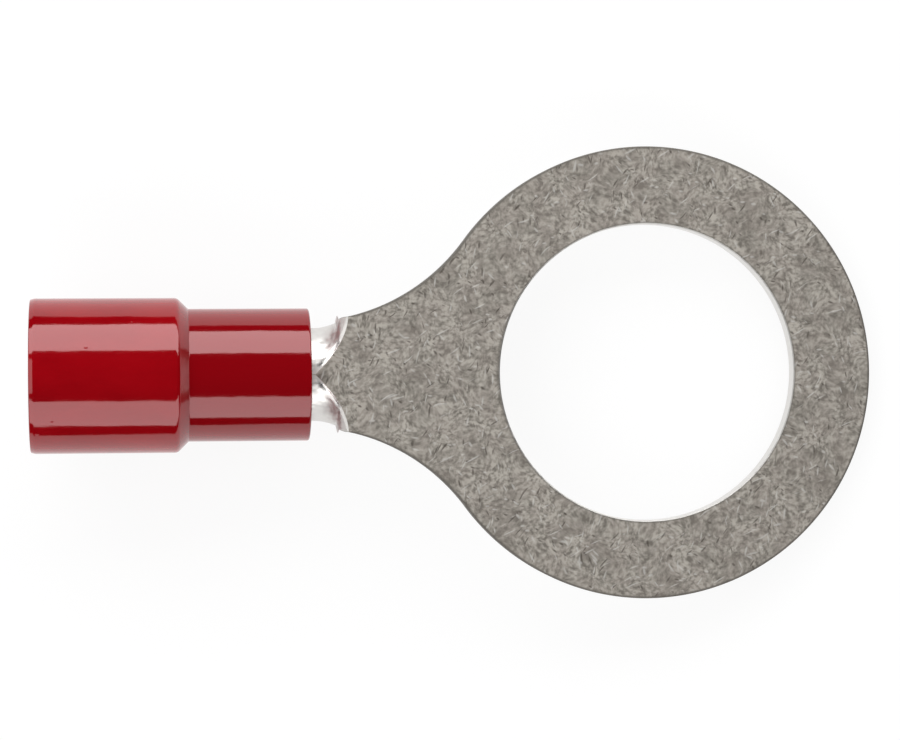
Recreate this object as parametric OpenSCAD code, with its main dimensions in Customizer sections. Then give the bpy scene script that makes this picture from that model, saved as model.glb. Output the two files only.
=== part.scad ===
// Insulated ring terminal: a plated copper strip, punched to a ring tongue and rolled at its
// other end into a butt-seamed wire barrel, with a stepped plastic sleeve pushed over the barrel.
// Frame: the origin is on the stud hole's axis, in the tongue's flush face. +Z leaves that face,
// +X points away from the wire, and lengths are millimetres.

/* [Ring tongue] */
// Outside diameter of the ring
ring_d = 16; // [14.5:0.5:20]
// Diameter of the stud hole
stud_hole_d = 10.5; // [8:0.1:12]
// Thickness of the strip
stock_t = 0.8; // [0.6:0.05:1]
// Distance from the stud hole's centre to the fold, where the neck starts to roll
reach = 10.6; // [10:0.1:14]
// Width of the neck at the fold
neck_w = 4.06; // [3.4:0.02:5]
// Radius of the flare between the neck and the ring
flare_r = 7; // [4:0.5:10]

/* [Rolled neck] */
// Length of the neck over which the flat strip becomes a round barrel
neck_l = 1.15; // [0.9:0.05:2]
// Sharpest angle of the creases that bound the flat
crease_deg = 24; // [8:1:30]
// Length of the ears, which are the corners of the neck ahead of the wings
ear_l = 0.3; // [0.2:0.02:0.45]
// Angle through which an ear's edge droops where the wing starts
ear_droop_deg = 45; // [30:1:60]
// Width that the fillet in the blank's corner adds to an ear
ear_fillet = 0.1; // [0:0.02:0.2]
// Angle that the wings' front edges have reached where they start
wing_start_deg = 95; // [85:1:120]
// Thinning of the strip where it is rolled
neck_thinning = 0.01; // [0.01:0.01:0.05]

/* [Wire barrel] */
// Diameter of the bore for the stripped wire
wire_bore_d = 1.7; // [1.5:0.05:2.2]
// Length of the round, closed barrel
barrel_l = 4.65; // [3.5:0.05:6]
// Gap left in the butt seam
seam_gap = 0.06; // [0.04:0.02:0.2]
// Chamfer round the mouth that the wire goes into
mouth_chamfer = 0.2; // [0.05:0.05:0.4]

/* [Sleeve grip] */
// Slack between the barrel and the bore that grips it
grip_slack = 0.02; // [0.01:0.01:0.05]
// Wall of the sleeve round the barrel
grip_wall = 0.68; // [0.4:0.02:0.9]
// Distance from the barrel's front end back to the sleeve's front end
sleeve_setback = 0.16; // [0.04:0.02:0.5]
// Rounding of the sleeve's front edge
front_edge_r = 0.08; // [0.02:0.02:0.2]

/* [Sleeve bell] */
// Length of the bell, from the foot of its shoulder to its open end
bell_l = 5.54; // [3.5:0.02:8]
// Wall of the bell
bell_wall = 0.66; // [0.5:0.02:0.9]
// Growth of the bore's radius from the grip to the bell, for the wire's insulation
bell_step = 0.41; // [0.2:0.01:0.8]
// Distance behind the barrel at which the bore starts to widen
stop_room = 0.05; // [0.02:0.01:0.2]
// Slope of the shoulder, inside and outside
shoulder_deg = 45; // [30:5:60]
// Rounding of the shoulder's outer corner
shoulder_r = 0.25; // [0.05:0.05:0.4]
// Rounding of the rim's outer edge
rim_r = 0.2; // [0.05:0.05:0.3]
// Chamfer inside the rim, which leads the wire in
lead_in = 0.15; // [0.05:0.05:0.3]

/* [Hidden] */
$fn = 96;

// Reach of a cutting tool past the face that it leaves through
cut_over = 1;

// Ring tongue
ring_r = ring_d / 2;
fold_x = -reach;
fold_corner = [fold_x, neck_w / 2];
// The flare's arc touches the ring's circle and passes through the fold's corner
corner_dist = norm(fold_corner);
corner_dir = fold_corner / corner_dist;
arc_reach = ring_r + flare_r;
arc_along = (pow(arc_reach, 2) - pow(flare_r, 2) + pow(corner_dist, 2)) / (2 * corner_dist);
arc_across = sqrt(pow(arc_reach, 2) - pow(arc_along, 2));
flare_centre = arc_along * corner_dir + arc_across * [corner_dir.y, -corner_dir.x];
flare_end = flare_centre * ring_r / arc_reach;
// Depth of the fill where the arc and the circle would meet in a sharp cusp
flare_cusp = 0.15;

// Wire barrel
wire_bore_r = wire_bore_d / 2;
barrel_r = wire_bore_r + stock_t;
barrel_front_x = fold_x - neck_l;
barrel_rear_x = barrel_front_x - barrel_l;

// Sleeve, measured back from its front end along its own axis
sleeve_front_x = barrel_front_x - sleeve_setback;
grip_bore_r = barrel_r + grip_slack;
grip_r = grip_bore_r + grip_wall;
bell_bore_r = grip_bore_r + bell_step;
bell_r = bell_bore_r + bell_wall;
widen_at = sleeve_front_x - barrel_rear_x + stop_room;
bore_widened_at = widen_at + bell_step / tan(shoulder_deg);
shoulder_foot = widen_at - grip_wall * tan(shoulder_deg / 2);
shoulder_top = shoulder_foot + (bell_r - grip_r) / tan(shoulder_deg);
sleeve_l = shoulder_foot + bell_l;

// Rolled neck: stations along the roll, and points across half of the strip
ROLL_STATIONS = 16;
CREST_STEPS = 2;
SIDE_STEPS = 18;
// Least and greatest share of the half-width that the crest's steps take up
CREST_LEAST = 0.03;
CREST_MOST = 0.85;
// The flat keeps this share of its width as a power of the way along the roll
FLAT_POWER = 0.55;
// Length over which an ear gives way to the wing
ear_ramp = 0.08;
// The roll's rear end is let into the barrel's wall by this length and this much under its skin
root_l = 0.4;
root_skin = 0.006;

function mix(a, b, share) = a + (b - a) * share;
function ease(from, to, t) =
    let (s = max(0, min(1, (t - from) / (to - from))))
    s * s * (3 - 2 * s);
function radians(deg) = deg * PI / 180;
function degrees(rad) = rad * 180 / PI;

// How far the wing has taken over from the ear, t along the roll
function wing_share(t) = ease(ear_l / neck_l, (ear_l + ear_ramp) / neck_l, t);

// Half-width of the flat between the creases
function flat_half(t) = neck_w / 2 * (1 - pow(t, FLAT_POWER));

// Angle by which the strip turns at once at the edge of the flat
function crease(t) = crease_deg * sin(180 * t);

// Direction of the strip's cut edge: an ear droops, and a wing closes towards the seam
function ear_edge(t) = ear_droop_deg * t * neck_l / ear_l;
function wing_edge(t) =
    let (seam = asin(seam_gap / 2 / wire_bore_r) + 1)
    mix(wing_start_deg, 180 - seam, max(0, t * neck_l - ear_l) / (neck_l - ear_l));
function edge_deg(t) = mix(ear_edge(t), wing_edge(t), wing_share(t));

// Radius from the crease to the widest line. An ear's follows from the strip's own width, and a
// wing's from the neck's outline, which narrows to the barrel.
function ear_radius(t) =
    let (width = neck_w / 2 + ear_fillet * pow(t * neck_l / ear_l, 2))
    (width - flat_half(t)) / max(1e-3, radians(ear_edge(t) - crease(t)));
function wing_radius(t) =
    let (outline = mix(barrel_r, neck_w / 2, pow(1 - t, 2)))
    (outline - flat_half(t)) / (1 - sin(crease(t)));
function side_radius(t) =
    let (share = wing_share(t))
    share == 0 ? ear_radius(t) : share == 1 ? wing_radius(t)
    : mix(ear_radius(t), wing_radius(t), share);

// Radius below the widest line, which would close at the barrel's lowest line
function under_radius(t) = 2 * barrel_r - side_radius(t) * cos(crease(t));

// Where a line at the distance u from the strip's middle lies: [y, z, direction of its normal]
function strip_line(t, u) =
    let (flat = flat_half(t), bend = crease(t), side = side_radius(t), under = under_radius(t),
         past = u - flat, to_widest = side * radians(90 - bend))
    past <= 0 ? [u, 0, 0]
    : past <= to_widest
        ? let (a = bend + degrees(past / side))
          [flat + side * (sin(a) - sin(bend)), side * (cos(a) - cos(bend)), a]
        : let (a = 90 + degrees((past - to_widest) / under))
          [flat + side * (1 - sin(bend)) + under * (sin(a) - 1), under * cos(a) - side * cos(bend), a];

// Half of the strip's width at t, along its surface
function strip_half(t) =
    let (edge = edge_deg(t), bend = crease(t))
    t == 0 ? neck_w / 2
    : flat_half(t) + side_radius(t) * radians(min(edge, 90) - bend)
        + under_radius(t) * radians(max(edge - 90, 0));

// Half of a cross-section: lines from the middle to the edge, one of them on the crease
function half_section(t) =
    let (half = strip_half(t), crest = half * min(max(flat_half(t) / half, CREST_LEAST), CREST_MOST))
    [for (i = [0 : CREST_STEPS + SIDE_STEPS])
        strip_line(t, i <= CREST_STEPS ? crest * i / CREST_STEPS
                      : mix(crest, half, (i - CREST_STEPS) / SIDE_STEPS))];

// A whole cross-section at x: first the outer face's points, then the inner face's
function section(t, x) =
    let (half = half_section(t), n = len(half) - 1, skin = t < 1 ? 0 : root_skin,
         inner = stock_t - neck_thinning,
         lines = [for (i = [-n : n]) [for (k = [0 : 2]) half[abs(i)][k] * (i < 0 && k != 1 ? -1 : 1)]])
    [for (depth = [skin, inner], line = lines)
        [x, line[0] - depth * sin(line[2]), line[1] - depth * cos(line[2])]];

// A strip solid through sections of equal length, each outer points first and inner points last
module strip_loft(sections) {
    rings = len(sections);
    row = len(sections[0]) / 2;
    loop = [for (i = [0 : row - 1]) i, for (i = [row - 1 : -1 : 0]) row + i];
    count = len(loop);
    walls = [for (s = [0 : rings - 2], i = [0 : count - 1])
        let (a = s * count + loop[i], b = s * count + loop[(i + 1) % count],
             c = a + count, d = b + count)
        each [[a, d, b], [a, c, d]]];
    caps = [for (end = [0, rings - 1], i = [0 : row - 2])
        let (a = end * count + i, b = a + 1, c = a + row, d = b + row)
        each end == 0 ? [[a, d, c], [a, b, d]] : [[a, c, d], [a, d, b]]];
    polyhedron(points = [for (s = sections) each s], faces = concat(walls, caps), convexity = 6);
}

module rolled_neck() {
    stations = [for (i = [0 : ROLL_STATIONS]) pow(i / ROLL_STATIONS, 1.6)];
    strip_loft([
        for (t = stations) section(t, fold_x - neck_l * t),
        section(1, barrel_front_x - root_l)
    ]);
}

module blank_outline() {
    // The neck's block ends just short of where the flare's arc touches the ring's circle
    block_half = flare_end.y - flare_cusp;
    circle(r = ring_r);
    difference() {
        translate([fold_x, -block_half])
            square([reach, 2 * block_half]);
        for (side = [-1, 1])
            translate([flare_centre.x, side * flare_centre.y])
                circle(r = flare_r);
    }
}

module ring_tongue() {
    difference() {
        translate([0, 0, -stock_t])
            linear_extrude(height = stock_t)
                blank_outline();
        translate([0, 0, -stock_t - cut_over])
            cylinder(d = stud_hole_d, h = stock_t + 2 * cut_over);
    }
}

module wire_barrel() {
    translate([barrel_rear_x, 0, -barrel_r])
        rotate([0, 90, 0])
            difference() {
                cylinder(r = barrel_r, h = barrel_l);
                translate([0, 0, -cut_over])
                    cylinder(r = wire_bore_r, h = barrel_l + 2 * cut_over);
                // Mouth for the wire
                translate([0, 0, -mouth_chamfer])
                    cylinder(r1 = wire_bore_r + 2 * mouth_chamfer, r2 = wire_bore_r,
                             h = 2 * mouth_chamfer);
                // Butt seam, along the barrel's lowest line
                translate([0, -seam_gap / 2, -cut_over])
                    cube([barrel_r + cut_over, seam_gap, barrel_l + 2 * cut_over]);
            }
}

module terminal() {
    color([0.62, 0.6, 0.57]) {
        ring_tongue();
        rolled_neck();
        wire_barrel();
    }
}

// Half of the sleeve's section: radius, then distance back from the front end
module sleeve_profile() {
    // The rounding between the shoulder and the bell touches both lines
    turn = shoulder_r * tan(shoulder_deg / 2);
    polygon([
        [grip_bore_r, 0],
        [grip_r - front_edge_r, 0],
        [grip_r, front_edge_r],
        [grip_r, shoulder_foot],
        [bell_r - turn * sin(shoulder_deg), shoulder_top - turn * cos(shoulder_deg)],
        [bell_r, shoulder_top + turn],
        [bell_r, sleeve_l - rim_r],
        [bell_r - rim_r, sleeve_l],
        [bell_bore_r + lead_in, sleeve_l],
        [bell_bore_r, sleeve_l - lead_in],
        [bell_bore_r, bore_widened_at],
        [grip_bore_r, widen_at]
    ]);
    translate([grip_r - front_edge_r, front_edge_r])
        circle(r = front_edge_r);
    translate([bell_r - shoulder_r, shoulder_top + turn])
        circle(r = shoulder_r);
    translate([bell_r - rim_r, sleeve_l - rim_r])
        circle(r = rim_r);
}

module sleeve() {
    color([0.62, 0.04, 0.07])
        translate([sleeve_front_x, 0, -barrel_r])
            rotate([0, -90, 0])
                rotate_extrude()
                    sleeve_profile();
}

terminal();
sleeve();
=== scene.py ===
"""Insulated ring terminal: a tin-plated ring tongue, rolled to a wire barrel in a red sleeve.

Shapes are worked out in millimetres in the part's own frame and become metres in the mesh. The
origin is on the stud hole's axis in the tongue's flush face, and +X points away from the wire.
"""

import logging
import math
from dataclasses import dataclass, field, replace
from enum import Enum
from functools import reduce
from typing import Any

import bmesh
import bpy
import numpy as np
from bpy.types import Material, Node, NodeSocket, Object
from mathutils import Matrix, Vector


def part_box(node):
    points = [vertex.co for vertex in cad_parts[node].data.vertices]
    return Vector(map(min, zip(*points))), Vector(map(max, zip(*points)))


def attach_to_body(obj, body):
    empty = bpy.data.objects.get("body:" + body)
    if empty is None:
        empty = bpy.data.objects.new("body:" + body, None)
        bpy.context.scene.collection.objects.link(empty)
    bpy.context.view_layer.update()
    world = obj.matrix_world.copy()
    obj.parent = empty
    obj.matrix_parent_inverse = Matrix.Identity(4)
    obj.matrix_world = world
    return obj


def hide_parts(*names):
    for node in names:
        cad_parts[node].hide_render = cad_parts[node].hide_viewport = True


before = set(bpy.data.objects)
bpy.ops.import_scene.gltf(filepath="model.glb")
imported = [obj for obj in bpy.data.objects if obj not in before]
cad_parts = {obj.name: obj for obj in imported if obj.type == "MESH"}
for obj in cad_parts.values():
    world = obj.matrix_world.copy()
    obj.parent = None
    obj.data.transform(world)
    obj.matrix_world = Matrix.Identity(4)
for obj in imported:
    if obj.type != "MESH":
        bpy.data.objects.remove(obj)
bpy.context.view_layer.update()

Array = np.ndarray
Colour = tuple[float, float, float, float]
Triple = tuple[float, float, float]
Pair = tuple[float, float]

MM = 0.001
# Points closer than this many metres become one; it is far less than the finest grid's spacing
WELD = 2e-8
# The least length or angle that a formula divides by
TINY = 1e-9
BODY = "root"
WHITE: Colour = (1.0, 1.0, 1.0, 1.0)
UP = Vector((0.0, 0.0, 1.0))

log = logging.getLogger("ring_terminal")


class MaterialSlot(Enum):
    """Material slots of the part's record."""

    METAL = "plated_copper"
    PLASTIC = "red_plastic"


class Mark(Enum):
    """Numbers on the metal's points, which its finish reads.

    CUT is how far a point belongs to a sheared edge, darkened as bare copper and as painted shade
    along the outlines. ROLLED is its distance past the crease in millimetres. Both stop at 1.
    TURNED is how far the roll has turned it, in right angles, and it fades in along the roll.
    """

    CUT = "cut"
    ROLLED = "rolled"
    TURNED = "turned"


class Tree:
    """The nodes of a new material or world."""

    def __init__(self, owner: bpy.types.ID) -> None:
        """Clears the owner's nodes and makes its output node.

        Args:
            owner: The new material or world.
        """
        owner.use_nodes = True
        self.nodes = owner.node_tree.nodes
        self.links = owner.node_tree.links
        self.nodes.clear()
        sky = isinstance(owner, bpy.types.World)
        self.output = self.node("OutputWorld" if sky else "OutputMaterial", {})

    def node(self, kind: str, settings: dict[str, Any], *ordered: Any, **named: Any) -> Node:
        """Adds any node.

        Args:
            kind: The node's type, without its ShaderNode prefix.
            settings: Attributes, which are set before the sockets.
            ordered: Values or signals for the first sockets in turn, where None leaves one alone.
            named: Values or signals by socket name, with _ for a space.

        Returns:
            The new node.
        """
        made = self.nodes.new("ShaderNode" + kind)
        for name, value in settings.items():
            setattr(made, name, value)
        for socket, value in zip(made.inputs, ordered):
            if value is not None:
                self.feed(socket, value)
        for name, value in named.items():
            self.feed(made.inputs[name.replace("_", " ")], value)
        return made

    def feed(self, socket: NodeSocket, value: Any) -> None:
        """Links a signal to a socket, or sets the socket's own value."""
        if isinstance(value, Signal):
            self.links.new(value.socket, socket)
        else:
            socket.default_value = value

    def signal(self, node: Node, output: str | int = 0) -> "Signal":
        """Wraps one output of a node."""
        return Signal(self, node.outputs[output])

    def blend(self, share: Any, low: Any, high: Any) -> "Signal":
        """Mixes two colours by a share from 0 to 1, past the node's sockets for other kinds."""
        others = [None] * 5
        return self.signal(self.node("Mix", {"data_type": "RGBA"}, share, *others, low, high), 2)

    def mix(self, share: Any, low: Node, high: Node) -> Node:
        """Mixes two shader nodes by a share from 0 to 1."""
        return self.node("MixShader", {}, share, self.signal(low), self.signal(high))

    def ray(self, kind: str) -> "Signal":
        """1 for one kind of ray, such as Camera, and 0 for the rest."""
        return self.signal(self.node("LightPath", {}), f"Is {kind} Ray")

    def principled(self, height: Any, reach_mm: float, strength: float, **sockets: Any) -> None:
        """Ends a piece's material in a Principled shader, with its sockets, over a bump."""
        bump = self.node("Bump", {}, Strength=strength, Distance=reach_mm * MM, Height=height)
        self.finish(self.node("BsdfPrincipled", {}, Normal=self.signal(bump), **sockets))

    def finish(self, shader: Node) -> None:
        """Sends a shader node to the output."""
        self.feed(self.output.inputs[0], self.signal(shader))


class Signal:
    """A node's output. Python's operators on one that carries a number add Math nodes."""

    def __init__(self, tree: Tree, socket: NodeSocket) -> None:
        """Keeps the tree and the output socket."""
        self.tree = tree
        self.socket = socket

    def math(self, operation: str, *operands: Any) -> "Signal":
        """Adds a Math node over the operands, in order."""
        return self.tree.signal(self.tree.node("Math", {"operation": operation}, *operands))

    def __add__(self, other: Any) -> "Signal":
        """Sum."""
        return self.math("ADD", self, other)

    __radd__ = __add__

    def __sub__(self, other: Any) -> "Signal":
        """Difference."""
        return self.math("SUBTRACT", self, other)

    def __rsub__(self, other: Any) -> "Signal":
        """Difference from a plain number."""
        return self.math("SUBTRACT", other, self)

    def __mul__(self, other: Any) -> "Signal":
        """Product."""
        return self.math("MULTIPLY", self, other)

    __rmul__ = __mul__

    def at_most(self, other: Any) -> "Signal":
        """The lesser of the two."""
        return self.math("MINIMUM", self, other)

    def at_least(self, other: Any) -> "Signal":
        """The greater of the two."""
        return self.math("MAXIMUM", self, other)

    def under(self, other: Any) -> "Signal":
        """1 where it is less than the other, and 0 elsewhere."""
        return self.math("LESS_THAN", self, other)

    def fade(self, start: float, end: float) -> "Signal":
        """A smooth step between two values.

        Args:
            start: The value at which the step is 0.
            end: The value at which it is 1, which may be the lesser of the two.

        Returns:
            The step.
        """
        made = self.tree.node(
            "MapRange", {"interpolation_type": "SMOOTHSTEP"},
            Value=self, From_Min=min(start, end), From_Max=max(start, end),
        )
        step = self.tree.signal(made, "Result")
        return step if end > start else 1 - step


class Patterns:
    """Patterns on a piece's object coordinates, with lengths in millimetres."""

    noise_roughness: float = 0.55
    scratch_core: float = 0.35

    def __init__(self, tree: Tree) -> None:
        """Takes the coordinates from the piece itself."""
        self.tree = tree
        self.coordinates = tree.signal(tree.node("TexCoord", {}), "Object")

    def warp(self, cell_mm: float, reach_mm: float) -> None:
        """Bends the coordinates by a soft noise, so that straight marks drawn on them curve.

        Args:
            cell_mm: Size of the noise's cells.
            reach_mm: The furthest that a point can move along each axis.
        """
        noise = self.tree.node(
            "TexNoise", {"noise_dimensions": "3D"}, Vector=self.coordinates,
            Scale=1 / (cell_mm * MM), Detail=0.0,
        )
        centred = self.tree.node(
            "VectorMath", {"operation": "SUBTRACT"}, self.tree.signal(noise, "Color"), (0.5,) * 3
        )
        moved = self.tree.node(
            "VectorMath", {"operation": "MULTIPLY_ADD"},
            self.tree.signal(centred), (2 * reach_mm * MM,) * 3, self.coordinates,
        )
        self.coordinates = self.tree.signal(moved)

    def mark(self, mark: Mark) -> Signal:
        """A number stored on the piece's points."""
        made = self.tree.node("Attribute", {"attribute_name": mark.value})
        return self.tree.signal(made, "Fac")

    def along_mm(self, start: float, end: float) -> Signal:
        """A smooth step along X, from 0 at start to 1 at end."""
        split = self.tree.node("SeparateXYZ", {}, Vector=self.coordinates)
        return self.tree.signal(split, "X").fade(start * MM, end * MM)

    def placed(self, turn_deg: float, cell_mm: Triple) -> Signal:
        """Turns the coordinates about Z, then divides them by a cell's size.

        Args:
            turn_deg: The pattern's turn.
            cell_mm: Size of its cells along each axis.

        Returns:
            Coordinates in which a cell is 1 long each way.
        """
        turned = self.tree.node(
            "Mapping", {"vector_type": "POINT"}, Vector=self.coordinates,
            Rotation=(0.0, 0.0, math.radians(turn_deg)),
        )
        scaled = self.tree.node(
            "Mapping", {"vector_type": "POINT"}, Vector=self.tree.signal(turned, "Vector"),
            Scale=tuple(1 / (size * MM) for size in cell_mm),
        )
        return self.tree.signal(scaled, "Vector")

    def noise(self, cell_mm: Triple, detail: float, turn_deg: float = 0.0) -> Signal:
        """Cloudy noise.

        Args:
            cell_mm: Size of its cells along each axis.
            detail: How many times it repeats at half the size.
            turn_deg: Its turn about Z.

        Returns:
            The noise, from 0 to 1.
        """
        made = self.tree.node(
            "TexNoise", {"noise_dimensions": "3D"}, Vector=self.placed(turn_deg, cell_mm),
            Scale=1.0, Detail=detail, Roughness=self.noise_roughness,
        )
        return self.tree.signal(made, "Fac")

    def scratches(self, turn_deg: float, length_mm: float, width_mm: float, share: float) -> Signal:
        """Short straight marks that all lie one way, at random places.

        Args:
            turn_deg: Direction of the marks.
            length_mm: Spacing of the cells along the marks.
            width_mm: Spacing of the cells across the marks.
            share: How much of its cell a mark fills.

        Returns:
            1 on a mark and 0 off it.
        """
        made = self.tree.node(
            "TexVoronoi", {"feature": "F1"}, Scale=1.0, Randomness=1.0,
            Vector=self.placed(turn_deg, (length_mm, width_mm, length_mm)),
        )
        return self.tree.signal(made, "Distance").fade(share, share * self.scratch_core)


@dataclass(frozen=True)
class TinPlate:
    """Tumbled tin plate: fine grey grain, short scratches lying every way and darker cut edges,
    which are bare copper with painted shade along the outlines.

    A colour's cover is how much of those under it that it hides. The bent, deep and smooth ranges
    are where the roll's marks go from nothing to full. The bend wipes off most of the grain.
    """

    dull: Colour = (0.235, 0.216, 0.189, 1.0)
    clean: Colour = (0.545, 0.512, 0.463, 1.0)
    warm: Colour = (0.365, 0.318, 0.288, 1.0)
    pit: Colour = (0.105, 0.09, 0.076, 1.0)
    bright: Colour = (0.68, 0.665, 0.64, 1.0)
    burnished: Colour = (0.8, 0.79, 0.77, 1.0)
    # Cut edges: bare copper, darkened further as painted shade for the dark line along the outlines
    bare_and_shade: Colour = (0.17, 0.158, 0.141, 1.0)
    warm_cover: float = 0.25
    pit_cover: float = 0.7
    bright_cover: float = 0.55
    burnished_cover: float = 0.85
    mottle_mm: Triple = (1.5, 1.5, 1.5)
    grain_mm: Triple = (0.34, 0.34, 0.34)
    fine_mm: Triple = (0.13, 0.13, 0.13)
    hue_mm: Triple = (0.7, 0.7, 0.7)
    hue_turn_deg: float = 40.0
    dent_mm: Triple = (0.45, 0.35, 0.35)
    patches: Pair = (0.35, 0.65)
    mottle_contrast: float = 1.1
    grain_contrast: float = 1.5
    speckle_contrast: float = 1.5
    patchy_contrast: float = 1.3
    curl_cell_mm: float = 0.9
    curl_reach_mm: float = 0.22
    pale_turns_deg: tuple[float, ...] = (8.0, 61.0, 104.0, 151.0)
    dark_turns_deg: tuple[float, ...] = (33.0, 88.0, 127.0)
    pale_share: float = 0.19
    dark_share: float = 0.18
    # Length and width of the cells of each set of scratches
    scratch_cells_mm: tuple[Pair, ...] = (
        (0.595, 0.275), (0.935, 0.245), (1.275, 0.215), (1.615, 0.185)
    )
    bent_mm: Pair = (0.0, 0.03)
    deep_mm: Pair = (0.1, 0.35)
    smooth_turn: Pair = (0.08, 0.2)
    wiped: float = 0.9
    roughness: float = 0.66
    crease_roughness: float = 0.27
    rolled_roughness: float = 0.44
    uneven_roughness: float = 0.1
    bump_mm: float = 0.02
    bump_strength: float = 0.6
    grain_height: float = 0.7
    fine_height: float = 0.35
    pit_depth: float = 0.5
    scratch_height: float = 0.3
    dent_height: float = 4.0

    def scratches(self, patterns: Patterns, turns: tuple[float, ...], share: float) -> Signal:
        """Scratches in several directions, each set longer and narrower than the last.

        Args:
            patterns: The piece's patterns.
            turns: Direction of each set, in degrees.
            share: How much of its cell a scratch fills.

        Returns:
            1 on a scratch of any set and 0 off them.
        """
        sets = (
            patterns.scratches(turn, length, width, share)
            for turn, (length, width) in zip(turns, self.scratch_cells_mm)
        )
        return reduce(Signal.at_least, sets)

    def build(self) -> Material:
        """Makes the material.

        Grain, speckle and mottle say how much of clean covers dull. Warm patches, pits, bright
        scratches, the burnish of the roll and the dark cut edges, bare copper with painted shade
        along the outlines, cover that in turn.

        Returns:
            The material.
        """
        material = bpy.data.materials.new("tin_plate")
        tree = Tree(material)
        patterns = Patterns(tree)
        cut, rolled, turned = (patterns.mark(mark) for mark in Mark)
        patterns.warp(self.curl_cell_mm, self.curl_reach_mm)
        mottle = patterns.noise(self.mottle_mm, detail=2.0)
        grain = patterns.noise(self.grain_mm, detail=2.0)
        fine = patterns.noise(self.fine_mm, detail=1.0)
        hue = patterns.noise(self.hue_mm, detail=1.0, turn_deg=self.hue_turn_deg)
        dents = patterns.noise(self.dent_mm, detail=1.0)
        pale = self.scratches(patterns, self.pale_turns_deg, self.pale_share)
        dark = self.scratches(patterns, self.dark_turns_deg, self.dark_share)
        bent, deep = rolled.fade(*self.bent_mm), rolled.fade(*self.deep_mm)
        smooth = turned.fade(*self.smooth_turn)
        worn = 1 - bent * self.wiped
        patchy = self.speckle_contrast + mottle.fade(*self.patches) * self.patchy_contrast
        share = 0.5 + (grain - 0.5) * self.grain_contrast + (fine - 0.5) * patchy
        share = share + (mottle - 0.5) * self.mottle_contrast
        tone = tree.blend(share.at_most(1.0).at_least(0.0), self.dull, self.clean)
        tone = tree.blend(hue.fade(*self.patches) * self.warm_cover, tone, self.warm)
        tone = tree.blend(dark * worn * self.pit_cover, tone, self.pit)
        tone = tree.blend(pale * worn * self.bright_cover, tone, self.bright)
        tone = tree.blend(bent * self.burnished_cover, tone, self.burnished)
        # Bare copper with painted shade: the cut edges and the faces' outer rows go dark
        tone = tree.blend(cut, tone, self.bare_and_shade)
        crease_gain = self.roughness - self.crease_roughness
        deep_loss = self.rolled_roughness - self.crease_roughness
        roughness = self.roughness + (fine - 0.5) * self.uneven_roughness
        roughness = roughness - smooth * crease_gain + deep * smooth * deep_loss
        tumbled = grain * self.grain_height + fine * self.fine_height
        tumbled = tumbled - dark * self.pit_depth + pale * self.scratch_height
        height = tumbled * worn + dents * deep * self.dent_height
        tree.principled(
            height, self.bump_mm, self.bump_strength,
            Base_Color=tone, Metallic=1.0, Roughness=roughness,
        )
        return material


@dataclass(frozen=True)
class RedVinyl:
    """Glossy dark red vinyl, drawn along its length and faintly uneven."""

    base: Colour = (0.245, 0.0006, 0.0033, 1.0)
    deep: Colour = (0.21, 0.0005, 0.0028, 1.0)
    grip: Colour = (0.185, 0.0006, 0.0028, 1.0)
    gloss_tint: Colour = (1.0, 0.78, 0.79, 1.0)
    grip_from_mm: Pair = (-16.6, -16.1)
    cloud_mm: Triple = (2.4, 1.2, 1.2)
    drawn_mm: Triple = (3.0, 0.22, 0.22)
    fleck_mm: float = 0.9
    fleck_share: float = 0.1
    clouds: Pair = (0.3, 0.7)
    roughness: float = 0.04
    cloud_roughness: float = 0.06
    drawn_roughness: float = 0.03
    ior: float = 1.72
    bump_mm: float = 0.022
    bump_strength: float = 0.35
    drawn_height: float = 0.3
    fleck_height: float = 0.7

    def build(self) -> Material:
        """Makes the material, which darkens over the grip, where the metal lies behind it.

        Returns:
            The material.
        """
        material = bpy.data.materials.new("red_vinyl")
        tree = Tree(material)
        patterns = Patterns(tree)
        cloud = patterns.noise(self.cloud_mm, detail=3.0)
        drawn = patterns.noise(self.drawn_mm, detail=2.0)
        flecks = patterns.scratches(0.0, self.fleck_mm, self.fleck_mm, self.fleck_share)
        tone = tree.blend(cloud.fade(*self.clouds), self.deep, self.base)
        tone = tree.blend(patterns.along_mm(*self.grip_from_mm), tone, self.grip)
        roughness = cloud * self.cloud_roughness + self.roughness + drawn * self.drawn_roughness
        height = cloud + drawn * self.drawn_height + flecks * self.fleck_height
        tree.principled(
            height, self.bump_mm, self.bump_strength,
            Base_Color=tone, Roughness=roughness, IOR=self.ior, Specular_Tint=self.gloss_tint,
        )
        return material


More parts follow.
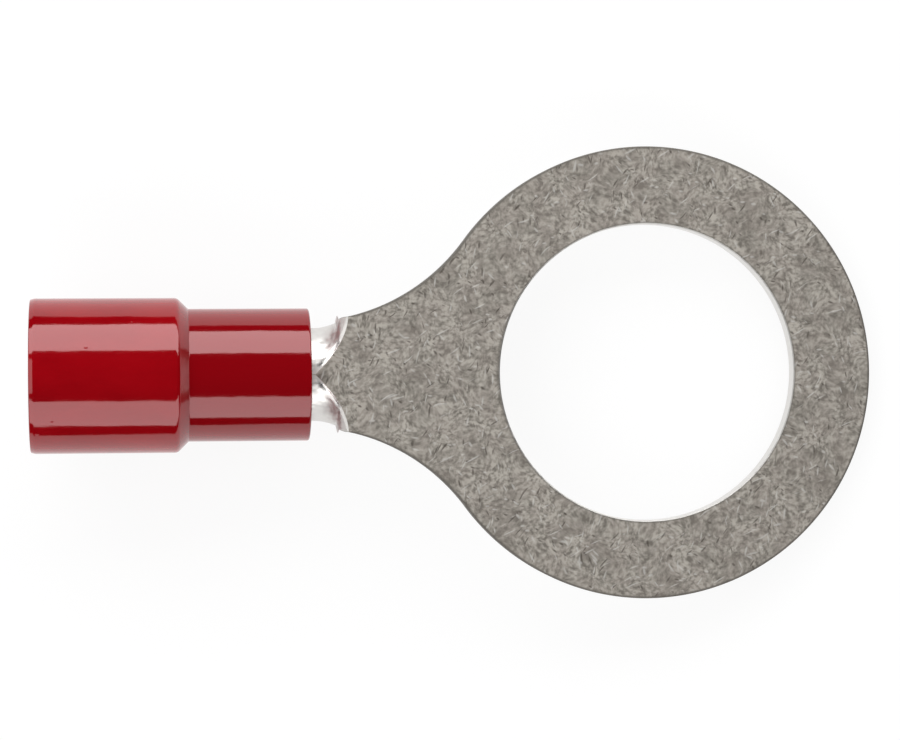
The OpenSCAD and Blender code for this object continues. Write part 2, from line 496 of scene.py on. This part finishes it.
@dataclass
class Shell:
    """Grids of points, gathered and welded into one closed mesh, with marks for the finish."""

    name: str
    marks: dict[Mark, list[Array]] = field(default_factory=dict)
    points: list[Array] = field(default_factory=list)
    quads: list[Array] = field(default_factory=list)
    count: int = 0

    def grid(
        self, points: Array, close_rows: bool = False, close_columns: bool = False,
        marks: dict[Mark, Any] | None = None,
    ) -> None:
        """Adds a surface: the quad at row i and column j joins it to row i + 1 and column j + 1.

        Args:
            points: Rows by columns by xyz, in millimetres.
            close_rows: Joins the last row to the first.
            close_columns: Joins the last column to the first.
            marks: Numbers or arrays for the finish; a mark that isn't given is 0.
        """
        rows, columns = points.shape[:2]
        index = np.arange(rows * columns).reshape(rows, columns) + self.count
        if close_rows:
            index = np.vstack([index, index[:1]])
        if close_columns:
            index = np.hstack([index, index[:, :1]])
        self.quads.append(np.stack(
            [index[:-1, :-1], index[1:, :-1], index[1:, 1:], index[:-1, 1:]], axis=-1
        ).reshape(-1, 4))
        self.points.append(points.reshape(-1, 3))
        for mark, values in self.marks.items():
            given = np.asarray((marks or {}).get(mark, 0.0), np.float32)
            values.append(np.broadcast_to(given, (rows, columns)).ravel())
        self.count += rows * columns

    def build(self, material: Material) -> Object:
        """Makes the object, welded, with its faces outward and smooth.

        Args:
            material: The piece's finish.

        Returns:
            The object, at the origin.
        """
        mesh = bpy.data.meshes.new(self.name)
        mesh.from_pydata(
            (np.vstack(self.points) * MM).tolist(), [], np.vstack(self.quads).tolist()
        )
        for mark, values in self.marks.items():
            layer = mesh.attributes.new(mark.value, "FLOAT", "POINT")
            layer.data.foreach_set("value", np.concatenate(values))
        work = bmesh.new()
        work.from_mesh(mesh)
        bmesh.ops.remove_doubles(work, verts=work.verts, dist=WELD)
        bmesh.ops.recalc_face_normals(work, faces=work.faces)
        unpaired = sum(1 for edge in work.edges if not edge.is_manifold)
        work.to_mesh(mesh)
        work.free()
        mesh.polygons.foreach_set("use_smooth", np.ones(len(mesh.polygons), bool))
        mesh.materials.append(material)
        count = len(mesh.polygons)
        log.info("%s: %d faces, %d edges not shared by two", self.name, count, unpaired)
        return linked(self.name, mesh)


def linked(name: str, data: bpy.types.ID) -> Object:
    """Makes an object of a mesh, lamp or camera and puts it in the scene."""
    made = bpy.data.objects.new(name, data)
    bpy.context.scene.collection.objects.link(made)
    return made


def rounded_profile(corners: Array, radii: Array, steps: int, support: float) -> Array:
    """A closed outline with an arc at each corner.

    An arc of radius r at a corner of opening angle a starts r / tan(a / 2) from the corner, and its
    centre lies r / sin(a / 2) from it along the bisector. A point just before and just after each
    arc keeps the straight runs flat in shading.

    Args:
        corners: The outline's corners, in order.
        radii: Each corner's radius.
        steps: Steps in each arc.
        support: Distance of the extra points from their arc.

    Returns:
        The outline's points, in order.
    """
    back = np.roll(corners, 1, axis=0) - corners
    ahead = np.roll(corners, -1, axis=0) - corners
    back /= np.linalg.norm(back, axis=1, keepdims=True)
    ahead /= np.linalg.norm(ahead, axis=1, keepdims=True)
    opening = np.arccos(np.clip((back * ahead).sum(1), -1, 1))[:, None]
    radius = radii[:, None]
    reach = radius / np.tan(opening / 2)
    bisector = (back + ahead) / np.linalg.norm(back + ahead, axis=1, keepdims=True)
    centre = corners + bisector * radius / np.sin(opening / 2)
    first = corners + back * reach - centre
    last = corners + ahead * reach - centre
    turn = (math.pi - opening)[:, None]
    share = np.linspace(0, 1, steps + 1)[None, :, None]
    arc = np.sin((1 - share) * turn) * first[:, None] + np.sin(share * turn) * last[:, None]
    arc /= np.sin(turn)
    before = (corners + back * (reach + support))[:, None]
    after = (corners + ahead * (reach + support))[:, None]
    return np.concatenate([before, centre[:, None] + arc, after], axis=1).reshape(-1, 2)


def ease(start: float, end: float, t: Array) -> Array:
    """A smooth step: 3 s squared minus 2 s cubed, for the share s of the way from start to end."""
    share = np.clip((t - start) / (end - start), 0, 1)
    return share * share * (3 - 2 * share)


@dataclass
class Strip:
    """The copper strip: its thickness and its cut edges, shared by the tongue, neck and barrel."""

    thickness: float = 0.8
    face_edge_r: float = 0.045
    back_edge_r: float = 0.035
    edge_steps: int = 5

    def edge(self) -> Array:
        """The cut edge, from the flush face round to the back.

        Returns:
            Points as (distance in from the edge, depth under the flush face): a quarter circle at
            each face and the straight cut between them.
        """
        turn = np.linspace(0, math.pi / 2, self.edge_steps + 1)
        steep, slight = 1 - np.sin(turn), 1 - np.cos(turn)
        face = np.stack([self.face_edge_r * steep, self.face_edge_r * slight], 1)
        back = np.stack([self.back_edge_r * slight, self.thickness - self.back_edge_r * steep], 1)
        return np.vstack([face, back])


def carried(edge: Array, points: Array, facing: Array) -> Array:
    """Carries a cut edge along a flat outline.

    Each row of the wall is the outline, moved in by the edge's distance and down by its depth.

    Args:
        edge: Points of the edge as (distance in, depth).
        points: The outline.
        facing: Directions in which the outline's edge faces.

    Returns:
        The wall, edge points by outline points by xyz.
    """
    wall = points[None] - edge[:, 0, None, None] * facing[None]
    depth = np.broadcast_to(-edge[:, 1, None, None], wall.shape[:2] + (1,))
    return np.concatenate([wall, depth], axis=-1)


@dataclass
class Neck:
    """The neck and barrel: a strip that rolls from flat, at the fold, to a seamed tube.

    Stations lie along the roll and the barrel. At each, the strip's section is a closed loop of
    points. The way t along the roll is 0 at the fold and 1 where the tube is closed.
    """

    strip: Strip
    fold_x: float = -10.6
    width: float = 4.06
    length: float = 1.15
    crease_deg: float = 24.0
    ear_l: float = 0.3
    ear_ramp: float = 0.08
    ear_droop_deg: float = 45.0
    ear_fillet: float = 0.1
    wing_start_deg: float = 95.0
    flat_power: float = 0.55
    bore_r: float = 0.85
    seam_gap: float = 0.06
    barrel_l: float = 4.65
    seam_room_deg: float = 1.0
    mouth_chamfer: float = 0.2
    # Where the mouth's outer edge is worn: distance ahead of the rear face, and depth worn off
    mouth_edge: tuple[Pair, ...] = ((0.06, 0.0), (0.02, 0.012), (0.0, 0.05))
    stations: int = 110
    station_crowding: float = 1.6
    front_support: float = 0.3
    mouth_support: float = 0.03
    crest_steps: int = 10
    side_steps: int = 64
    crest_least: float = 0.03
    crest_most: float = 0.85
    least_turn: float = 1e-3
    smooth_from: float = 0.12
    smooth_by: float = 0.34
    # Darkness of the neck's cut edges: bare copper, and painted shade
    edge_bare_and_shade: float = 0.5

    @property
    def barrel_r(self) -> float:
        """The barrel's outer radius."""
        return self.bore_r + self.strip.thickness

    @property
    def barrel_front_x(self) -> float:
        """Where the roll is complete."""
        return self.fold_x - self.length

    @property
    def barrel_rear_x(self) -> float:
        """The mouth that the wire goes into."""
        return self.barrel_front_x - self.barrel_l

    @property
    def across(self) -> int:
        """How many of a loop's points lie on each face."""
        return 2 * (self.crest_steps + self.side_steps) + 1

    @property
    def down(self) -> int:
        """How many of a loop's points lie on each cut edge, between the faces."""
        return len(self.strip.edge()) - 2

    def flat_half(self, t: Array) -> Array:
        """Half of the flat's width: it shrinks with a power of the way t along the roll."""
        return self.width / 2 * (1 - t**self.flat_power)

    def crease(self, t: Array) -> Array:
        """Angle that the strip turns at once at the flat's edge: a half sine along the roll."""
        return np.radians(self.crease_deg * np.sin(math.pi * t))

    def ear_edge(self, t: Array) -> Array:
        """Direction of an ear's cut edge, which droops evenly along the roll."""
        return np.radians(self.ear_droop_deg * t * self.length / self.ear_l)

    def edge_angle(self, t: Array, share: Array) -> Array:
        """Direction of the strip's cut edge: the ear's, giving way to the wing's.

        The wing's goes evenly from its start to the edge of the seam's gap.

        Args:
            t: The way along the roll.
            share: How far the wing has taken over from the ear.

        Returns:
            Angles from straight up.
        """
        seam = math.degrees(math.asin(self.seam_gap / 2 / self.bore_r)) + self.seam_room_deg
        way = np.maximum(0, t * self.length - self.ear_l) / (self.length - self.ear_l)
        wing = self.wing_start_deg + (180 - seam - self.wing_start_deg) * way
        return (1 - share) * self.ear_edge(t) + share * np.radians(wing)

    def bend(self, t: Array) -> tuple[Array, ...]:
        """The bend's sizes at each station.

        The side radius runs from the crease to the widest line. An ear's keeps the strip's width,
        and a wing's follows the neck's outline, which narrows to the barrel. The radius under the
        widest line closes the tube at the barrel's lowest line.

        Args:
            t: The way along the roll, from 0 to 1.

        Returns:
            Half of the flat, the crease, the side radius, the radius under it and half of the
            strip's width along its surface.
        """
        flat, crease = self.flat_half(t), self.crease(t)
        share = ease(self.ear_l / self.length, (self.ear_l + self.ear_ramp) / self.length, t)
        width = self.width / 2 + self.ear_fillet * (t * self.length / self.ear_l) ** 2
        ear = (width - flat) / np.maximum(self.least_turn, self.ear_edge(t) - crease)
        outline = self.barrel_r + (self.width / 2 - self.barrel_r) * (1 - t) ** 2
        wing = (outline - flat) / (1 - np.sin(crease))
        both = (1 - share) * ear + share * wing
        side = np.where(share == 0, ear, np.where(share == 1, wing, both))
        under = 2 * self.barrel_r - side * np.cos(crease)
        edge = self.edge_angle(t, share)
        half = (flat + side * (np.minimum(edge, math.pi / 2) - crease)
                + under * np.maximum(edge - math.pi / 2, 0))
        return flat, crease, side, under, np.where(t == 0, self.width / 2, half)

    def surface(self, t: Array, x: Array, u: Array, depth: Array) -> tuple[Array, Array]:
        """Rolls the strip: a line at u from its middle keeps that distance along the surface.

        It crosses the flat, then an arc of the side radius to the widest line, then an arc of the
        radius under it. Depth is taken against the surface's normal.

        Args:
            t: The way along the roll at each station.
            x: Each station's place along the part.
            u: Distances from the strip's middle, stations by loop.
            depth: Depths under the flush face, stations by loop.

        Returns:
            Points, stations by loop by xyz, and the angle that the surface has turned at each.
        """
        flat, crease, side, under, _ = (v[:, None] for v in self.bend(t))
        past = np.abs(u) - flat
        to_widest = side * (math.pi / 2 - crease)
        on_side = crease + past / np.maximum(side, TINY)
        below = math.pi / 2 + (past - to_widest) / under
        turned = past > to_widest
        angle = np.where(past <= 0, 0.0, np.where(turned, below, on_side))
        side_y = flat + side * (np.sin(on_side) - np.sin(crease))
        side_z = side * (np.cos(on_side) - np.cos(crease))
        under_y = flat + side * (1 - np.sin(crease)) + under * (np.sin(below) - 1)
        under_z = under * np.cos(below) - side * np.cos(crease)
        y = np.where(past <= 0, np.abs(u), np.where(turned, under_y, side_y))
        z = np.where(past <= 0, 0.0, np.where(turned, under_z, side_z))
        y = np.sign(u) * (y - depth * np.sin(angle))
        z = z - depth * np.cos(angle)
        return np.stack([np.broadcast_to(x[:, None], y.shape), y, z], axis=-1), angle

    def row(self, half: Array, flat: Array, inset: float) -> Array:
        """Distances across a face, from the negative edge to the positive one.

        Some points share out the flat up to the crease, and the rest go from there to the edge.

        Args:
            half: Half of the strip's width.
            flat: Half of the flat's width.
            inset: How far the face stops short of the strip's edge.

        Returns:
            Distances from the strip's middle, stations by points.
        """
        crest = half * np.clip(flat / half, self.crest_least, self.crest_most)
        inner = np.linspace(0, 1, self.crest_steps + 1)[None, 1:] * crest[:, None]
        rest = np.linspace(0, 1, self.side_steps + 1)[None, 1:] * (half - inset - crest)[:, None]
        right = np.hstack([inner, crest[:, None] + rest])
        return np.hstack([-right[:, ::-1], np.zeros((len(half), 1)), right])

    def mitred(self, t: Array, u: Array) -> Array:
        """Moves the back's points so that its flat and its bend stop where they meet.

        Past a sharp crease the two backs would cross. They meet at the angle whose cosine is
        (side cos(crease) - thickness) / (side - thickness), where the bend's back has come down to
        the flat's. Each run keeps its share of the way.

        Args:
            t: The way along the roll at each station.
            u: Distances from the strip's middle, stations by points.

        Returns:
            The distances, moved off the fold and unchanged at the strip's middle and edges.
        """
        flat, crease, side, _, half = (v[:, None] for v in self.bend(t))
        inner = side - self.strip.thickness
        meet = np.arccos(np.clip((side * np.cos(crease) - self.strip.thickness) / inner, -1, 1))
        flat_end = flat - side * np.sin(crease) + inner * np.sin(meet)
        bend_start = flat + side * (meet - crease)
        edge = half - self.strip.back_edge_r
        way = np.clip((np.abs(u) - flat) / np.maximum(edge - flat, TINY), 0, 1)
        on_flat = np.abs(u) * flat_end / np.maximum(flat, TINY)
        moved = np.where(np.abs(u) <= flat, on_flat, bend_start + way * (edge - bend_start))
        return np.sign(u) * moved

    def loops(self, t: Array) -> tuple[Array, Array]:
        """The strip's closed section at each station: flush face, edge, back and the other edge.

        Args:
            t: The way along the roll at each station.

        Returns:
            Distances from the strip's middle and depths under the flush face, stations by loop.
        """
        flat, _, _, _, half = self.bend(t)
        edge = self.strip.edge()
        face = self.row(half, flat, self.strip.face_edge_r)
        back = self.mitred(t, self.row(half, flat, self.strip.back_edge_r)[:, ::-1])
        side = half[:, None] - edge[None, 1:-1, 0]
        depth = np.broadcast_to(edge[None, 1:-1, 1], side.shape)
        under = np.full_like(back, self.strip.thickness)
        u = np.hstack([face, side, back, -side[:, ::-1]])
        return u, np.hstack([np.zeros_like(face), depth, under, depth[:, ::-1]])

    def add_to(self, shell: Shell) -> None:
        """Adds the neck, the barrel and the barrel's rear face, open at the fold.

        At each station the mouth's chamfer opens the bore by its depth less the distance to the
        rear face, so it lies at 45 degrees.

        Args:
            shell: The terminal's mesh.
        """
        front, rear = self.barrel_front_x, self.barrel_rear_x
        ahead, worn = np.array(self.mouth_edge).T
        roll = np.linspace(0, 1, self.stations + 1) ** self.station_crowding
        tube = np.concatenate([
            [front - self.front_support, (front + rear) / 2],
            rear + self.mouth_chamfer + np.array([self.mouth_support, 0.0]),
            rear + ahead,
        ])
        t = np.concatenate([roll, np.ones(len(tube))])
        x = np.concatenate([self.fold_x - self.length * roll, tube])
        u, depth = self.loops(t)
        opened = np.maximum(0, self.mouth_chamfer - (x - rear))
        trimmed = np.concatenate([np.zeros(len(x) - len(worn)), worn])
        depth = np.clip(depth, trimmed[:, None], (self.strip.thickness - opened)[:, None])
        points, angle = self.surface(t, x, u, depth)
        on_edge = np.tile(np.r_[np.zeros(self.across), np.ones(self.down)], 2)
        shell.grid(points, close_columns=True, marks={
            # Bare copper with painted shade on the cut edges
            Mark.CUT: on_edge[None] * self.edge_bare_and_shade,
            Mark.ROLLED: np.clip(np.abs(u) - self.flat_half(t)[:, None], 0, 1),
            Mark.TURNED: angle / (math.pi / 2) * ease(self.smooth_from, self.smooth_by, t)[:, None],
        })
        self.add_mouth(shell, points[-1])

    def add_mouth(self, shell: Shell, last: Array) -> None:
        """Closes the strip's end: the ring between the faces, and a rim by each side of the seam.

        Args:
            shell: The terminal's mesh.
            last: The loop at the rear face.
        """
        across, down = self.across, self.down
        face = last[:across]
        back = last[across + down:2 * across + down][::-1]
        burnished = {Mark.ROLLED: 1.0, Mark.TURNED: 1.0}
        shell.grid(np.stack([face, back]), marks=burnished)
        left = np.vstack([face[-1:], last[across:across + down], back[-1:]])
        right = np.vstack([back[:1], last[2 * across + down:], face[:1]])
        for rim in (left, right):
            half = len(rim) // 2
            shell.grid(np.stack([rim[:half], rim[::-1][:half]]), marks=burnished)


@dataclass
class Tongue:
    """The flat ring, with its stud hole and the flared root that runs to the fold."""

    strip: Strip
    neck: Neck
    ring_r: float = 8.0
    hole_r: float = 5.25
    flare_r: float = 7.0
    hole_edge_r: float = 0.05
    # Painted shade: a dark line along the outline and round the stud hole's rims
    outline_shade: float = 0.8
    hole_rim_shade: float = 0.6
    ring_steps: int = 300
    flare_steps: int = 40
    face_rows: tuple[float, ...] = (0.0, 0.02, 0.2, 0.4, 0.6, 0.8, 0.98, 1.0)

    def flare(self) -> tuple[Array, Array]:
        """The upper flare's centre, and where its arc touches the ring.

        The centre is the ring's and the flare's radii together from the stud hole, and the flare's
        radius from the fold's corner.

        Returns:
            The centre and the touching point, as (x, y).
        """
        corner = np.array([self.neck.fold_x, self.neck.width / 2])
        far = np.linalg.norm(corner)
        reach = self.ring_r + self.flare_r
        along = (reach**2 - self.flare_r**2 + far**2) / (2 * far)
        across = math.sqrt(reach**2 - along**2)
        way = corner / far
        centre = along * way + across * np.array([way[1], -way[0]])
        return centre, centre * self.ring_r / reach

    def outline(self) -> tuple[Array, Array]:
        """The cut edge from the fold's lower corner round the ring to its upper one.

        Returns:
            Points, and the directions in which the edge faces. At the corners it faces along Y, as
            the neck's does.
        """
        centre, touch = self.flare()
        corner = np.array([self.neck.fold_x, self.neck.width / 2])
        start = math.atan2(*(touch - centre)[::-1])
        end = math.atan2(*(corner - centre)[::-1])
        end += 2 * math.pi * round((start - end) / (2 * math.pi))
        angle = np.linspace(start, end, self.flare_steps + 1)
        upper = centre + self.flare_r * np.stack([np.cos(angle), np.sin(angle)], 1)
        facing = (centre - upper) / self.flare_r
        facing[-1] = (0.0, 1.0)
        mirror = np.array([1.0, -1.0])
        meet = math.atan2(touch[1], touch[0])
        round_ring = np.linspace(-meet, meet, self.ring_steps + 1)[1:-1]
        ring = np.stack([np.cos(round_ring), np.sin(round_ring)], 1)
        points = np.vstack([upper[::-1] * mirror, ring * self.ring_r, upper])
        return points, np.vstack([facing[::-1] * mirror, ring, facing])

    def face(self, inset: float, z: float) -> Array:
        """One flat face: straight lines from the hole's rounded edge to the outline or the fold.

        Each line starts on the hole at the angle of its far end, and rows cross it at set shares.

        Args:
            inset: Radius of the cut edge at this face.
            z: Height of the face.

        Returns:
            Points, rows from the hole outwards by columns round the part, by xyz.
        """
        points, facing = self.outline()
        zero = np.zeros(1)
        flat, _, _, _, half = self.neck.bend(zero)
        fold, aim = (
            np.stack([np.full_like(row, self.neck.fold_x), row], 1)[1:-1]
            for row in (self.neck.row(half, flat, short)[0][::-1] for short in (inset, 0.0))
        )
        outer = np.vstack([points - inset * facing, fold])
        aim = np.vstack([points, aim])
        angle = np.arctan2(aim[:, 1], aim[:, 0])
        inner = (self.hole_r + self.hole_edge_r) * np.stack([np.cos(angle), np.sin(angle)], 1)
        share = np.array(self.face_rows)[:, None, None]
        plan = (1 - share) * inner + share * outer
        return np.concatenate([plan, np.full(plan.shape[:2] + (1,), z)], axis=-1)

    def add_to(self, shell: Shell) -> None:
        """Adds both faces, the outer cut edge and the hole's wall.

        Args:
            shell: The terminal's mesh.
        """
        face = self.face(self.strip.face_edge_r, 0.0)
        back = self.face(self.strip.back_edge_r, -self.strip.thickness)
        points, facing = self.outline()
        # Painted shade on the faces' rows at the outline and at the hole
        edges = np.zeros(face.shape[:2])
        edges[-1, :len(points)] = self.outline_shade
        edges[0] = self.hole_rim_shade
        shell.grid(face, close_columns=True, marks={Mark.CUT: edges})
        shell.grid(back, close_columns=True, marks={Mark.CUT: edges})
        edge = self.strip.edge()
        # The wall: bare copper with painted shade, and the outline's painted shade where it meets
        # the faces
        bare_and_shade = np.r_[self.outline_shade, np.ones(len(edge) - 2), self.outline_shade]
        shell.grid(carried(edge, points, facing), marks={Mark.CUT: bare_and_shade[:, None]})
        r = self.hole_edge_r
        rim = replace(self.strip, face_edge_r=r, back_edge_r=r).edge()
        way = face[0, :, :2] / np.linalg.norm(face[0, :, :2], axis=1, keepdims=True)
        # Painted shade round the hole's rims, fading into the wall
        faded = np.cos(np.linspace(0, math.pi / 2, len(rim) // 2)) * self.hole_rim_shade
        burnished = np.r_[0.0, np.ones(len(rim) - 2), 0.0][:, None]
        shell.grid(carried(rim, self.hole_r * way, -way), close_columns=True, marks={
            Mark.CUT: np.r_[faded, faded[::-1]][:, None],
            Mark.ROLLED: burnished,
            Mark.TURNED: burnished,
        })


@dataclass
class Terminal:
    """The one-piece terminal: tongue, neck and barrel welded into one skin."""

    strip: Strip = field(default_factory=Strip)
    finish: TinPlate = field(default_factory=TinPlate)

    def __post_init__(self) -> None:
        """Makes the sub-assemblies that share the strip."""
        self.neck = Neck(self.strip)
        self.tongue = Tongue(self.strip, self.neck)

    def build(self) -> Object:
        """Builds and dresses the terminal.

        Returns:
            The terminal.
        """
        shell = Shell("terminal_metal", {mark: [] for mark in Mark})
        self.tongue.add_to(shell)
        self.neck.add_to(shell)
        return attach(shell.build(self.finish.build()), "terminal")


@dataclass
class Sleeve:
    """The stepped sleeve: a narrow grip on the barrel and a wider bell for the insulation."""

    neck: Neck
    grip_slack: float = 0.02
    grip_wall: float = 0.68
    setback: float = 0.16
    front_edge_r: float = 0.08
    bell_l: float = 5.54
    bell_wall: float = 0.66
    bell_step: float = 0.41
    stop_room: float = 0.05
    shoulder_deg: float = 45.0
    shoulder_r: float = 0.25
    lip_l: float = 0.16
    lip_drop: float = 0.045
    lip_bend_r: float = 0.3
    rim_r: float = 0.045
    lead_in: float = 0.15
    inner_edge_r: float = 0.05
    around: int = 256
    arc_steps: int = 8
    support: float = 0.012
    finish: RedVinyl = field(default_factory=RedVinyl)

    @property
    def front_x(self) -> float:
        """The end over the barrel's front."""
        return self.neck.barrel_front_x - self.setback

    @property
    def bore_r(self) -> float:
        """The grip's inner radius."""
        return self.neck.barrel_r + self.grip_slack

    @property
    def grip_r(self) -> float:
        """The grip's outer radius."""
        return self.bore_r + self.grip_wall

    def profile(self) -> Array:
        """Half of the section.

        The bore widens just behind the barrel's rear face. The shoulder starts further forward by
        the wall times the tangent of half its slope, which keeps the wall even through it.

        Returns:
            Points as (radius, distance back from the front end).
        """
        bore, grip = self.bore_r, self.grip_r
        bell_bore = bore + self.bell_step
        bell = bell_bore + self.bell_wall
        slope = math.radians(self.shoulder_deg)
        widen = self.front_x - self.neck.barrel_rear_x + self.stop_room
        foot = widen - self.grip_wall * math.tan(slope / 2)
        length = foot + self.bell_l
        corners = np.array([
            (bore, 0.0), (grip, 0.0), (grip, foot),
            (bell, foot + (bell - grip) / math.tan(slope)), (bell, length - self.lip_l),
            (bell - self.lip_drop, length), (bell_bore, length),
            (bell_bore, widen + self.bell_step / math.tan(slope)), (bore, widen),
        ])
        radii = np.array([
            self.inner_edge_r, self.front_edge_r, self.inner_edge_r, self.shoulder_r,
            self.lip_bend_r, self.rim_r, self.lead_in, self.inner_edge_r, self.inner_edge_r,
        ])
        return rounded_profile(corners, radii, self.arc_steps, self.support)

    def build(self) -> Object:
        """Turns the profile about the barrel's axis, and dresses it.

        Returns:
            The sleeve.
        """
        radius, back = self.profile().T
        turn = np.linspace(0, 2 * math.pi, self.around, endpoint=False)
        points = np.stack([
            np.broadcast_to(self.front_x - back[:, None], (len(back), self.around)),
            radius[:, None] * np.cos(turn),
            radius[:, None] * np.sin(turn) - self.neck.barrel_r,
        ], axis=-1)
        shell = Shell("sleeve_red")
        shell.grid(points, close_rows=True, close_columns=True)
        return attach(shell.build(self.finish.build()), "sleeve")


def attach(piece: Object, node: str) -> Object:
    """Puts a piece on the part's body, in place of its CAD node.

    Args:
        piece: The piece.
        node: The CAD node that it replaces.

    Returns:
        The piece.
    """
    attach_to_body(piece, BODY)
    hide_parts(node)
    return piece


@dataclass(frozen=True)
class Lamp:
    """A soft lamp beside the part.

    Its heading is the side where it stands, turned from +X towards +Y. It spans two angles from
    straight overhead down to that side, and its length runs level.
    """

    heading_deg: float
    span_deg: Pair
    length: float
    level: float


@dataclass
class Studio:
    """A pale sloping floor under the part, soft lamps round it, a dim sky and the camera."""

    terminal: Terminal
    sleeve: Sleeve
    floor_r: float = 42.0
    floor_steps: int = 96
    floor_room: float = 0.01
    floor_shade: float = 0.86
    floor_glow: float = 0.88
    sky: float = 0.012
    horizon: float = -0.17
    lamp_far: float = 300.0
    lamps: tuple[Lamp, ...] = (
        Lamp(90.0, (37.5, 82.0), 700.0, 3.7), Lamp(-90.0, (38.0, 79.0), 700.0, 2.4),
        Lamp(180.0, (25.0, 75.0), 260.0, 1.5),
    )
    fill_size: float = 420.0
    fill_level: float = 0.42
    centre_x: float = -7.0
    view_tilt_deg: float = 5.8
    view_roll_deg: float = 0.37
    view_along: float = -6.99
    view_across: float = 0.127
    view_far: float = 110.0
    lens: float = 124.34
    sensor: float = 36.0
    clip_m: Pair = (0.001, 10.0)

    def floor_finish(self) -> Material:
        """Makes the floor's finish.

        It is matt with the part's shadow, lifted towards white to the camera, to reflections and
        through clear things, and it can't be seen from below.

        Returns:
            The material.
        """
        material = bpy.data.materials.new("pale_floor")
        tree = Tree(material)
        matt = tree.node("BsdfDiffuse", {}, Color=(self.floor_shade,) * 3 + (1.0,))
        white = tree.node("Emission", {}, Strength=1.0)
        clear = tree.node("BsdfTransparent", {})
        seen = tree.ray("Camera").at_least(tree.ray("Glossy")).at_least(tree.ray("Transmission"))
        underside = tree.signal(tree.node("NewGeometry", {}), "Backfacing")
        lit = tree.mix(seen * self.floor_glow, matt, white)
        tree.finish(tree.mix(underside, lit, clear))
        return material

    def floor(self) -> Object:
        """Lays a round floor just under the ring's far edge and the sleeve.

        It slopes as the steepest line from the ring's far edge down to the sleeve, which may touch
        at the front of its grip or at the rear of its bell.

        Returns:
            The floor.
        """
        low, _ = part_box("sleeve")
        toe_x, toe_z = self.terminal.tongue.ring_r, -self.terminal.strip.thickness
        grip_low = -self.terminal.neck.barrel_r - self.sleeve.grip_r
        feet = ((self.sleeve.front_x, grip_low), (low.x / MM, low.z / MM))
        slope = max((toe_z - z) / (toe_x - x) for x, z in feet)
        angle = np.linspace(0, 2 * math.pi, self.floor_steps, endpoint=False)
        x = self.centre_x + self.floor_r * np.cos(angle)
        y = self.floor_r * np.sin(angle)
        z = toe_z - (toe_x - x) * slope - self.floor_room
        mesh = bpy.data.meshes.new("floor")
        corners = (np.stack([x, y, z], 1) * MM).tolist()
        mesh.from_pydata(corners, [], [tuple(range(self.floor_steps))])
        mesh.materials.append(self.floor_finish())
        made = linked("floor", mesh)
        log.info("floor slopes %.2f degrees", math.degrees(math.atan(slope)))
        return made

    def light(self, lamp: Lamp) -> None:
        """Places a lamp. Its power is its level times pi times its area, where level 1 is white.

        Args:
            lamp: Where it stands and how bright its face is.
        """
        heading = math.radians(lamp.heading_deg)
        middle = math.radians(sum(lamp.span_deg) / 2)
        half = math.radians((lamp.span_deg[1] - lamp.span_deg[0]) / 2)
        data = bpy.data.lights.new("soft_lamp", "AREA")
        data.shape = "RECTANGLE"
        data.size = lamp.length * MM
        data.size_y = 2 * self.lamp_far * math.tan(half) * MM
        data.energy = lamp.level * math.pi * data.size * data.size_y
        side = Vector((math.cos(heading), math.sin(heading), 0.0))
        outward = side * math.sin(middle) + UP * math.cos(middle)
        along = side.cross(UP)
        place = outward * self.lamp_far + Vector((self.centre_x, 0.0, 0.0))
        axes = Matrix((along, outward.cross(along), outward)).transposed().to_4x4()
        made = linked("soft_lamp", data)
        made.matrix_world = Matrix.Translation(place * MM) @ axes
        made.visible_camera = False

    def fill(self) -> None:
        """Places a soft round lamp overhead, which evens the shade and leaves no reflection."""
        data = bpy.data.lights.new("fill_lamp", "AREA")
        data.shape = "DISK"
        data.size = self.fill_size * MM
        data.energy = self.fill_level * math.pi * math.pi * (data.size / 2) ** 2
        made = linked("fill_lamp", data)
        made.location = (self.centre_x * MM, 0.0, self.lamp_far * MM)
        made.visible_camera = False
        made.visible_glossy = False

    def world(self) -> None:
        """Makes a dim even sky, which is white to the camera and through clear things.

        Under the horizon it is white to reflections too, so that metal shows a pale ground.
        """
        world = bpy.data.worlds.new("studio")
        bpy.context.scene.world = world
        tree = Tree(world)
        direction = tree.signal(tree.node("TexCoord", {}), "Generated")
        height = tree.signal(tree.node("SeparateXYZ", {}, direction), "Z")
        mirrored = tree.ray("Glossy") * height.under(self.horizon)
        seen = tree.ray("Camera").at_least(tree.ray("Transmission")).at_least(mirrored)
        dim = tree.node("Background", {}, Color=WHITE, Strength=self.sky)
        white = tree.node("Background", {}, Color=WHITE)
        tree.finish(tree.mix(seen, dim, white))

    def camera(self) -> None:
        """Places a long lens over the part, tilted towards the wire end and turned a little."""
        tilt, roll = math.radians(self.view_tilt_deg), math.radians(self.view_roll_deg)
        along = Vector((math.cos(tilt), 0.0, math.sin(tilt)))
        across = Vector((0.0, 1.0, 0.0))
        back = Vector((-math.sin(tilt), 0.0, math.cos(tilt)))
        right = along * math.cos(roll) - across * math.sin(roll)
        top = across * math.cos(roll) + along * math.sin(roll)
        place = along * self.view_along + back * self.view_far + across * self.view_across
        data = bpy.data.cameras.new("camera")
        data.lens = self.lens
        data.sensor_width = self.sensor
        data.clip_start, data.clip_end = self.clip_m
        made = linked("camera", data)
        axes = Matrix((right, top, back)).transposed().to_4x4()
        made.matrix_world = Matrix.Translation(place * MM) @ axes
        bpy.context.scene.camera = made

    def build(self) -> None:
        """Sets the stage, the light and the camera."""
        self.floor()
        for lamp in self.lamps:
            self.light(lamp)
        self.fill()
        self.world()
        self.camera()
        bpy.context.scene.view_settings.view_transform = "Standard"


def main() -> None:
    """Builds the terminal and its sleeve, then the studio round them."""
    logging.basicConfig(level=logging.INFO, format="%(name)s: %(message)s")
    terminal = Terminal()
    terminal.build()
    sleeve = Sleeve(terminal.neck)
    sleeve.build()
    Studio(terminal, sleeve).build()


if __name__ == "__main__":
    main()
